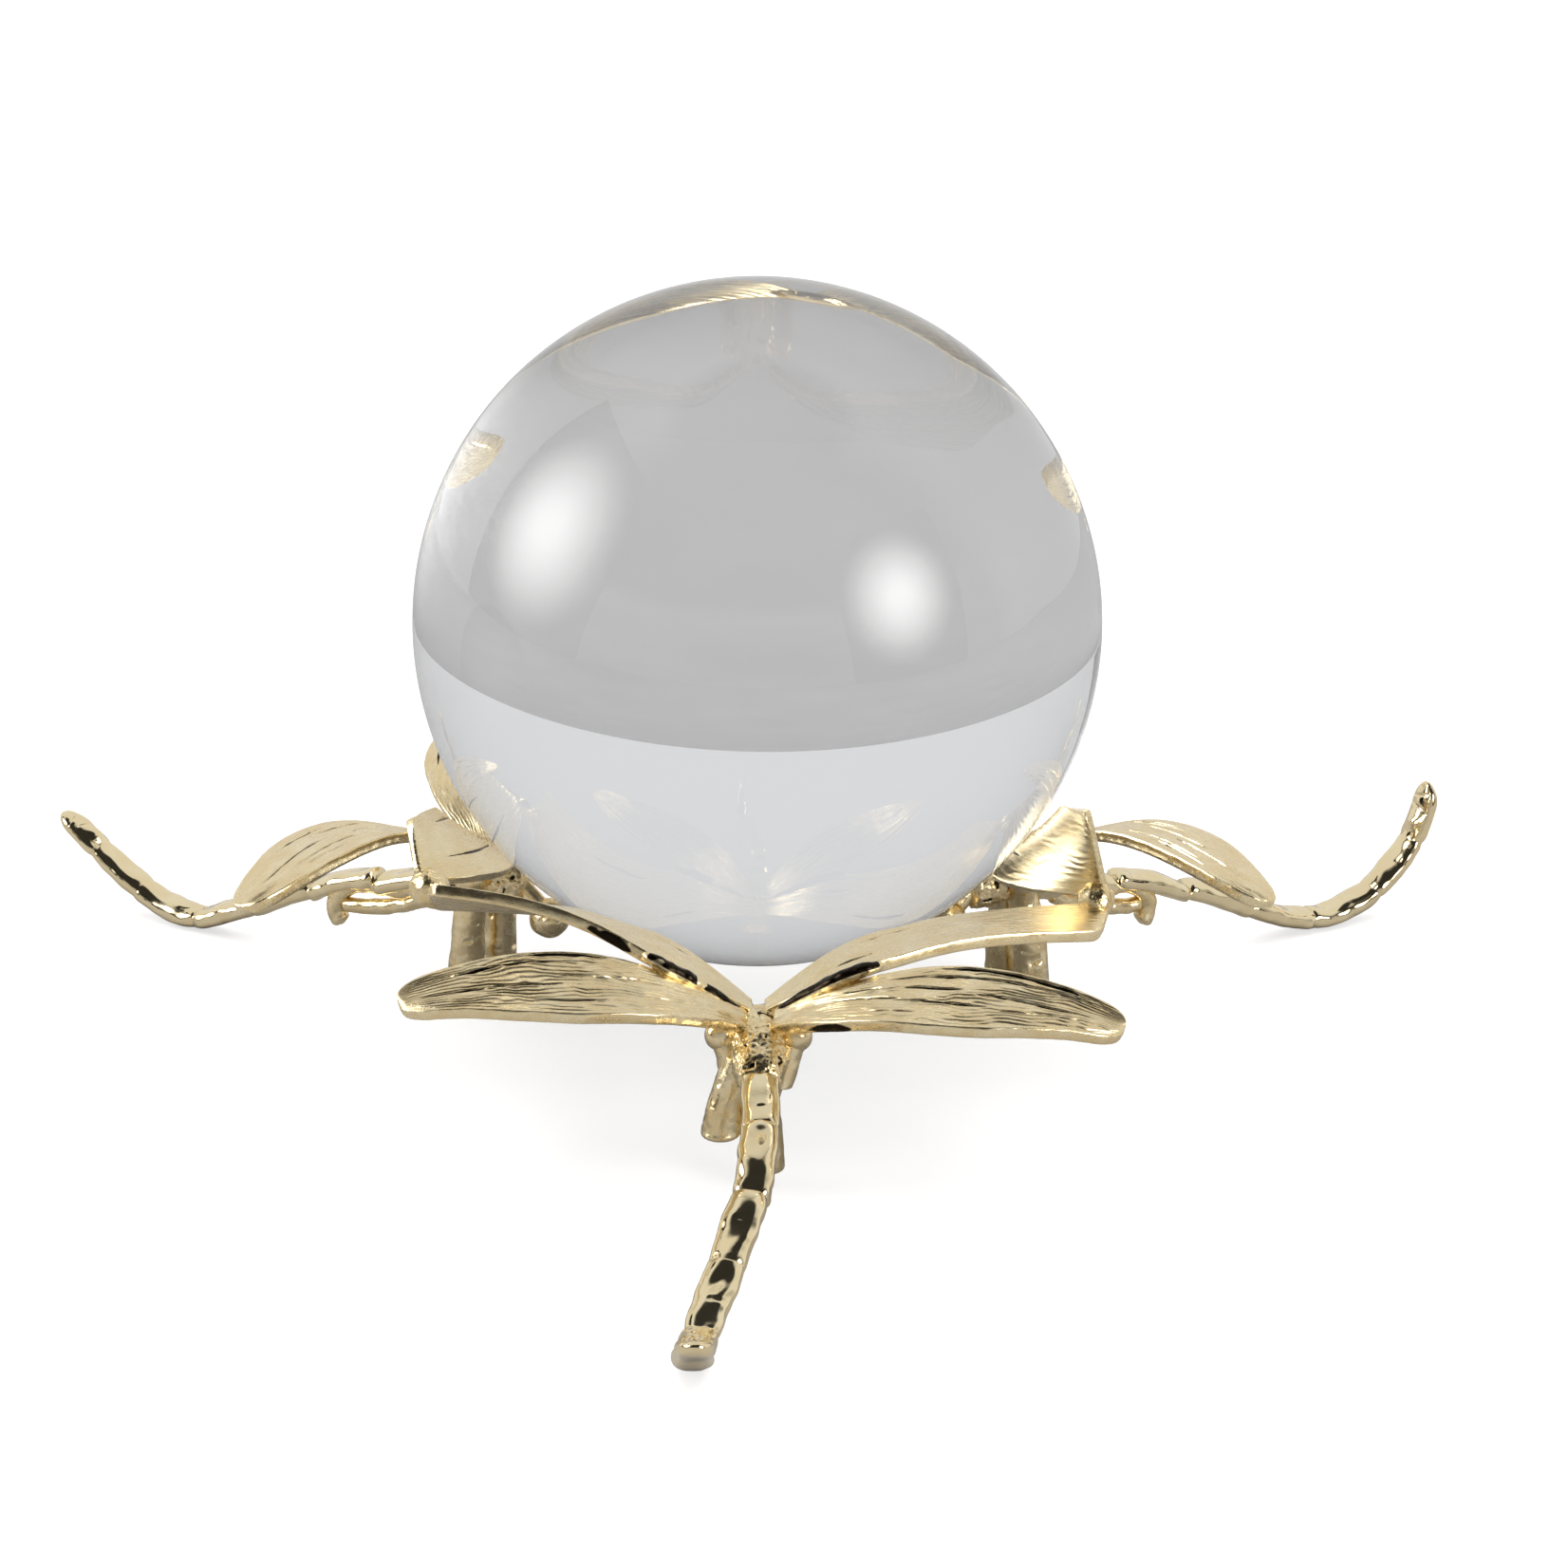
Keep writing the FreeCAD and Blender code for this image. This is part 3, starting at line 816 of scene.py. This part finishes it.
def abdomen_rings(tail_line, seed):
    """A smooth tail of uneven segments, with a bump and two cut lines on top near its tip."""
    line = Curve(local(tail_line))
    length = line.length()
    tip_share = 1.25 * TAIL_HALF_WIDTH / length
    tip_turn = np.radians(np.linspace(4, 88, 40))
    u = np.concatenate([np.linspace(0, 1 - tip_share, 420), 1 - tip_share * (1 - np.sin(tip_turn))])
    centre = line.at(u)
    along = unit(line.slope(u))
    across = unit(np.cross(along, np.array([0.0, 0.0, 1.0])))
    up = np.cross(across, along)
    into_tip = np.clip((u - 1 + tip_share) / tip_share, 0, 1)
    close = np.sqrt(np.clip(1 - into_tip ** 2, 0.0, 1.0))
    swell = np.full(len(u), 0.93)
    lean = np.zeros(len(u))
    previous = 0.0
    for end, sharp, crown in SEGMENT_ENDS + [(1.0, 0.0, 0.0)]:
        inside = (u >= previous) & (u <= end)
        t = np.clip((u - previous) / (end - previous), 0, 1)
        swell += np.where(inside, 0.055 * np.sin(math.pi * t) ** 0.8, 0)
        lean += np.where(inside, crown * (0.55 - t ** 2.4), 0)
        swell -= 0.11 * sharp * np.exp(-((u - end) * length / 0.45) ** 2)
        previous = end
    curled = ease(u, TAIL_TAPER_FROM, 1.0)
    widths = TAIL_HALF_WIDTH * swell * close * (1 - TAIL_NARROWING * curled)
    heights = TAIL_HALF_HEIGHT * swell * close * (1 - TAIL_THINNING * curled)
    rings = round_rings(centre + up * (lean * close)[:, None], across, up, widths, heights, 2.4, 120)
    angles = np.linspace(0, 2 * math.pi, 120, endpoint=False)
    side = np.abs(np.cos(angles))[None, :] ** 2
    lumps = 0.16 * noise_at(rings, 3.4, seed) + (0.05 + 0.10 * side) * noise_at(rings, 1.4, seed + 1)
    top = np.clip(np.sin(angles), 0, 1)[None, :] ** 2
    along_mm = u[:, None] * length
    from_tip = length - along_mm
    across_mm = np.cos(angles)[None, :] * widths[:, None]
    bump = 0.42 * np.exp(-((from_tip - 5.6) ** 2 + (across_mm - 0.2) ** 2) / 1.1) * top
    from_line_one = (from_tip - 3.3 - 0.10 * across_mm ** 2 - 0.25 * across_mm) / 0.16
    from_line_two = (from_tip - 1.7 + 0.30 * across_mm) / 0.15
    line_one = np.exp(-from_line_one ** 2) * ease(across_mm, 2.2, 1.2)
    line_two = np.exp(-from_line_two ** 2) * ease(across_mm, 1.8, 0.8)
    cut = np.maximum(line_one, line_two) * top
    slant = 0.9 * noise(along_mm / 9.0, 0.0, 0.0, seed + 2)
    beat = 2 * math.pi * (along_mm + slant * across_mm) / WAVE_LENGTH_MM
    beat = beat + 1.3 * noise(along_mm / 7.0, across_mm / 3.0, 0.0, seed + 3)
    dimples = ease(noise(along_mm / 1.9, across_mm / 1.2, 0.0, seed + 4), 0.55, 0.85) * top
    waves = 0.17 * np.sin(beat) * top * ease(from_tip, 8.0, 14.0)
    rings = swell_out(rings, (lumps - 0.14 + waves - 0.10 * dimples + bump - 0.22 * cut) * close[:, None])
    rings[..., 2] = np.maximum(rings[..., 2], 0.01)
    # The dark marks paint shade into the two cut lines.
    return rings, np.clip(cut, 0, 1) * 0.62, None


LIMB_END_MM = 0.6


def limb(points, radius, seed, lump, stations=90, round_end=True):
    """A round, slightly lumpy limb through the points."""
    line = Curve(local(points))
    u = np.linspace(0, 1, stations)
    across = np.tile([1.0, 0.0, 0.0], (stations, 1))
    up = unit(np.cross(unit(line.slope(u)), across))
    close = np.ones(stations)
    if round_end:
        into_end = np.maximum(0, 1 - (1 - u) / (LIMB_END_MM / line.length()))
        close = np.sqrt(np.clip(1 - into_end ** 2, 0.02, 1.0))
    rings = round_rings(line.at(u), across, up, radius * close, radius * close, 2.0, 48)
    return swell_out(rings, lump * noise_at(rings, 1.1, seed) * close[:, None]), None, None


def post_rings(side, short, lift, shift, seed):
    """A front leg's post from the thorax to its foot, with a softened sole."""
    top = local((LEG_TOP[0], side * LEG_TOP[1], LEG_TOP[2] + lift))
    moved = local((shift[0], shift[1], 0.0))
    knee = local((LEG_KNEE[0], side * LEG_KNEE[1], LEG_KNEE[2])) + moved
    foot = local((LEG_FOOT[0], side * LEG_FOOT[1], LEG_FOOT[2] + short)) + moved
    into_sole = 1 - np.sin(np.linspace(0.15, math.pi / 2, 10))
    shaft = np.linspace(top[2], foot[2] + FOOT_ROUND, 80)
    heights = np.concatenate([shaft, foot[2] + FOOT_ROUND * into_sole])
    share = np.clip((top[2] - heights) / (top[2] - knee[2]), 0, 1)[:, None]
    share_low = np.clip((knee[2] - heights) / (knee[2] - foot[2]), 0, 1)[:, None]
    upper, lower = top + (knee - top) * share, knee + (foot - knee) * share_low
    centres = np.where(heights[:, None] > knee[2], upper, lower)
    radii = LEG_R + (FOOT_R - LEG_R) * share_low[:, 0]
    into_foot = np.clip((foot[2] + FOOT_ROUND - heights) / FOOT_ROUND, 0, 1)
    radii = radii - FOOT_ROUND * (1 - np.sqrt(np.clip(1 - into_foot ** 2, 0, 1)))
    angles = np.linspace(0, 2 * math.pi, 72, endpoint=False)
    ring = np.stack([np.cos(angles), np.sin(angles), angles * 0], -1)
    rings = centres[:, None] + ring[None] * radii[:, None, None]
    lumps = 0.13 * noise_at(rings, 1.9, seed) + 0.035 * noise_at(rings, 0.55, seed + 1)
    pits = ease(noise_at(rings, 1.1, seed + 2), 0.62, 0.85)
    hold = ease(rings[..., 2], foot[2], foot[2] + 1.0)
    out = ring[None] * ((lumps - 0.05 - 0.30 * pits) * hold)[..., None]
    # The dark marks paint shade into the pits.
    return rings + out, pits * hold * 0.35, None


# ---------------------------------------------------------------- the pieces

BALL_STEPS = 180
TAIL_SEED, STRUT_SEED, BRACE_SEED, HEAD_SEED = 5, 7, 8, 3

for number, (unit_name, data) in enumerate(UNITS.items()):
    prefix = unit_name + "_dragonfly_"
    turn, yaw, roll, lift = data["turn"], data["yaw"], data["roll"], data["lift"]
    seed = 100 * (number + 1)
    raised = (turn, yaw, 0.0, lift)
    settled = (turn, yaw, 0.0, 0.0)

    def add(part, shells, material):
        make_piece(prefix + part + "_look", shells, material, "stand", prefix + part)

    add("thorax", [placed_shell(thorax_rings(seed), *raised)], ROUGH_GOLD)
    add("head", [placed_shell(shell, *raised) for shell in head_shells(seed + HEAD_SEED)], CAST_GOLD)
    add("abdomen", [placed_shell(abdomen_rings(data["tail"], seed + TAIL_SEED), *settled)], POLISHED_GOLD)
    strut = limb(REAR_STRUT, REAR_LEG_R, seed + STRUT_SEED, 0.16)
    brace = limb(REAR_BRACE, REAR_LEG_R * REAR_BRACE_SHARE, seed + BRACE_SEED, 0.12)
    add("rear_leg", [placed_shell(strut, *raised), placed_shell(brace, *raised)], CAST_GOLD)
    for side_name, side in SIDES.items():
        left, front = side_name == "left", unit_name == "front"
        wing_seed = seed + (40 if left else 20)
        rng = np.random.default_rng(wing_seed)
        grooves = OUTER_GROOVES.get((unit_name, side_name)) or random_grooves(rng, 6)
        flare = data["flare"] if left else 0.0
        flares = flare * np.sin(math.pi * np.arange(len(OUTER_FAR_EDGE)) / (len(OUTER_FAR_EDGE) - 1))
        far = Curve(local([(r + f, side * t, z) for (r, t, z), f in zip(OUTER_FAR_EDGE, flares)]))
        near = Curve(local([(r, side * t, z) for r, t, z in OUTER_NEAR_EDGE]))
        # The front right outer wing's far edge gets a streak of painted dark reflection.
        painted_reflection_streaks = [(1, 0.12, 0.32)] if front and not left else []
        vein_mm, wave_mm = (0.14, 0.13) if front else (0.10, 0.08)
        under = random_grooves(rng, 3)
        outer = blade(near, far, wing_seed, grooves, under, vein_mm, wave_mm, OUTER_LOOK, painted_reflection_streaks)
        add(side_name + "_outer_wing", [placed_shell(outer, turn, yaw, roll, lift)], WING_GOLD)

        bends = TIP_BENDS[(unit_name, side_name)]
        far = inner_edge(INNER_OUTER_EDGE, side, bends[0])
        near = inner_edge(INNER_INNER_EDGE, side, bends[1])
        # A left inner wing's far edge gets a streak of painted dark reflection.
        painted_reflection_streaks = [(1, 0.44, 0.68)] if left else []
        vein_mm = 0.06 if front else 0.045
        grooves, under = random_grooves(rng, 2), random_grooves(rng, 3)
        inner = blade(near, far, wing_seed + 5, grooves, under, vein_mm, 0.07, INNER_LOOK, painted_reflection_streaks)
        lip = ridge(far, 0.42, 0.95, wing_seed + 9)
        add(side_name + "_inner_wing", [placed_shell(inner, *raised), placed_shell(lip, *raised)], WING_GOLD)

        short = data["short"][0 if left else 1]
        shift = FOOT_SHIFTS.get((unit_name, side_name), (0.0, 0.0))
        post = post_rings(side, short, lift, shift, wing_seed + 11)
        hip_at = (HIP_CENTRE[0], side * HIP_CENTRE[1], HIP_CENTRE[2] + lift)
        hip = (ball_rings(local(hip_at), HIP_R * 0.97, wing_seed + 13, 0.10, 1.3), None, None)
        into_post = [
            hip_at,
            (36.2, side * 3.6, 15.2 + lift),
            (36.7, side * 2.9, 13.6),
            (37.0, side * 2.4, 12.0),
        ]
        lobe = limb(into_post, LOBE_R, wing_seed + 14, 0.12, 40, False)
        shells = [placed_shell(made, *settled) for made in (post, hip, lobe)]
        add(side_name + "_front_leg", shells, CAST_GOLD)

for number, name in enumerate(("front_left", "front_right", "back")):
    node = name + "_solder_joint"
    lo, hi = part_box(node)
    middle = np.array((lo + hi) / 2) / MM
    radius = min((hi - lo)) / 2 / MM
    bead = ball_rings(middle, radius * 0.92, 900 + number, 0.16, 0.9)
    make_piece(node + "_look", [Shell(bead)], ROUGH_GOLD, "stand", node)

glass_ball = Shell(ball_rings(BALL_CENTRE, BALL_R, 0, 0.0, 1.0, BALL_STEPS))
make_piece("crystal_ball_look", [glass_ball], CLEAR_GLASS, "ball", "crystal_ball")

# ---------------------------------------------------------------- studio

# Lengths here are in metres. The camera sees a white table and a white room, as in a cut-out
# picture; what is reflected in the piece or seen through the glass is a grey table, a pale
# backdrop and a dark ceiling.
TABLE_HALF = 1.4
TABLE_BACK = 0.43
TABLE_WHITE_SHARE = 0.65
BACKDROP = 0.76
LOW_FRONT = 0.42
CEILING = 0.03


def plane(name, corners, material):
    mesh = bpy.data.meshes.new(name)
    mesh.from_pydata(corners, [], [list(range(len(corners)))])
    mesh.materials.append(material)
    made = bpy.data.objects.new(name, mesh)
    bpy.context.scene.collection.objects.link(made)
    return made


def table_material():
    material, n = new_material("pale table")
    direct = n.add("ShaderNodeLightPath").outputs["Is Camera Ray"]
    mottle = n.grain(n.place(), 30.0, 3.0)
    paper = n.add("ShaderNodeBsdfDiffuse", Color=(0.96, 0.96, 0.955, 1.0))
    lit = n.add("ShaderNodeEmission", Color=(1.0, 1.0, 1.0, 1.0), Strength=1.02)
    seen = n.shader_mix(TABLE_WHITE_SHARE, paper.outputs[0], lit.outputs[0])
    tone = n.mix(mottle, (0.225, 0.222, 0.222, 1.0), (0.255, 0.252, 0.252, 1.0))
    around = n.add("ShaderNodeBsdfDiffuse", Color=tone)
    n.finish("ShaderNodeOutputMaterial", n.shader_mix(direct, around.outputs[0], seen))
    return material


table_corners = [
    (-TABLE_HALF, -TABLE_HALF, 0),
    (TABLE_HALF, -TABLE_HALF, 0),
    (TABLE_HALF, TABLE_BACK, 0),
    (-TABLE_HALF, TABLE_BACK, 0),
]
plane("table", table_corners, table_material())


def softbox(name, direction, distance, width, height, hot, strength):
    """A light panel facing the ball, glowing round the spot hot and dark towards its corners."""
    material, n = new_material(name)
    away = n.tree.nodes.new("ShaderNodeVectorMath")
    away.operation = "DISTANCE"
    n.feed(away, "_0", n.place())
    n.feed(away, "_1", (hot[0] * width / 2, hot[1] * height / 2, 0.0))
    fall = n.ranged(away.outputs["Value"], 0.0, min(width, height) * 0.5, strength, 0.0)
    glow = n.add("ShaderNodeEmission", Color=(1.0, 0.995, 0.985, 1.0), Strength=fall)
    n.finish("ShaderNodeOutputMaterial", glow.outputs[0])
    w, h = width / 2, height / 2
    panel = plane(name, [(-w, -h, 0), (w, -h, 0), (w, h, 0), (-w, h, 0)], material)
    toward = Vector(direction).normalized()
    stand_off = Matrix.Translation(Vector(BALL_CENTRE) * MM + toward * distance)
    panel.matrix_world = stand_off @ toward.to_track_quat("Z", "Y").to_matrix().to_4x4()
    panel.visible_camera = False


softbox("left softbox", (-0.86, -0.08, 0.42), 0.75, 0.80, 0.80, (0.0, 0.0), 10.0)
softbox("right softbox", (0.74, -0.60, 0.34), 0.80, 0.62, 0.66, (-0.05, 0.05), 11.0)

world = bpy.data.worlds.new("studio")
bpy.context.scene.world = world
world.use_nodes = True
n = Nodes(world.node_tree)
direction = n.add("ShaderNodeTexCoord").outputs["Generated"]
x, y, z = n.add("ShaderNodeSeparateXYZ", Vector=direction).outputs
behind = n.ranged(y, -0.35, 0.15, 0.0, 1.0)
below_ceiling = n.ranged(z, 0.88, 0.95, 1.0, 0.0)
backdrop = n.math("MULTIPLY", n.math("MULTIPLY", behind, below_ceiling), BACKDROP)
low_front = n.math("MULTIPLY", n.ranged(z, 0.30, 0.42, 1.0, 0.0), LOW_FRONT)
room = n.math("MAXIMUM", backdrop, n.math("MAXIMUM", low_front, CEILING))
direct = n.add("ShaderNodeLightPath").outputs["Is Camera Ray"]
studio = n.add("ShaderNodeBackground", Color=(0.985, 0.99, 1.0, 1.0), Strength=room)
white = n.add("ShaderNodeBackground", Color=(1.0, 1.0, 1.0, 1.0), Strength=1.05)
n.finish("ShaderNodeOutputWorld", n.shader_mix(direct, studio.outputs[0], white.outputs[0]))

fill = bpy.data.lights.new("overhead fill", "AREA")
fill.shape = "RECTANGLE"
fill.size, fill.size_y = 2.4, 2.4
fill.energy = 60.0
overhead = bpy.data.objects.new("overhead fill", fill)
overhead.location = (0, 0, 1.4)
overhead.visible_glossy = False
overhead.visible_transmission = False
bpy.context.scene.collection.objects.link(overhead)

bpy.context.scene.view_settings.view_transform = "Standard"

# ---------------------------------------------------------------- camera

# The camera looks past the ball: BALL_RIGHT and BALL_UP are the angles by which the ball's
# centre stands to the right of and above the line of sight.
ELEVATION = math.radians(19.0)
DISTANCE = 0.6
LENS = 118.555
BALL_RIGHT, BALL_UP = math.radians(-0.2949), math.radians(1.8004)
ROLL = math.radians(1.0)

cam_data = bpy.data.cameras.new("camera")
cam_data.sensor_width = 36.0
cam_data.lens = LENS
cam_data.clip_start, cam_data.clip_end = 0.01, 10.0
camera = bpy.data.objects.new("camera", cam_data)
bpy.context.scene.collection.objects.link(camera)
bpy.context.scene.camera = camera

back = Vector((0, -math.cos(ELEVATION), math.sin(ELEVATION)))
right = Vector((1, 0, 0))
above = back.cross(right)
forward = math.cos(BALL_UP) * -back - math.sin(BALL_UP) * above
forward = math.cos(BALL_RIGHT) * forward - math.sin(BALL_RIGHT) * right
side_axis = forward.cross(right.cross(forward)).normalized()
up_axis = side_axis.cross(forward)
basis = Matrix((side_axis, up_axis, -forward)).transposed()
basis = Matrix.Rotation(ROLL, 3, back) @ basis
camera.matrix_world = Matrix.Translation(Vector(BALL_CENTRE) * MM + back * DISTANCE) @ basis.to_4x4()
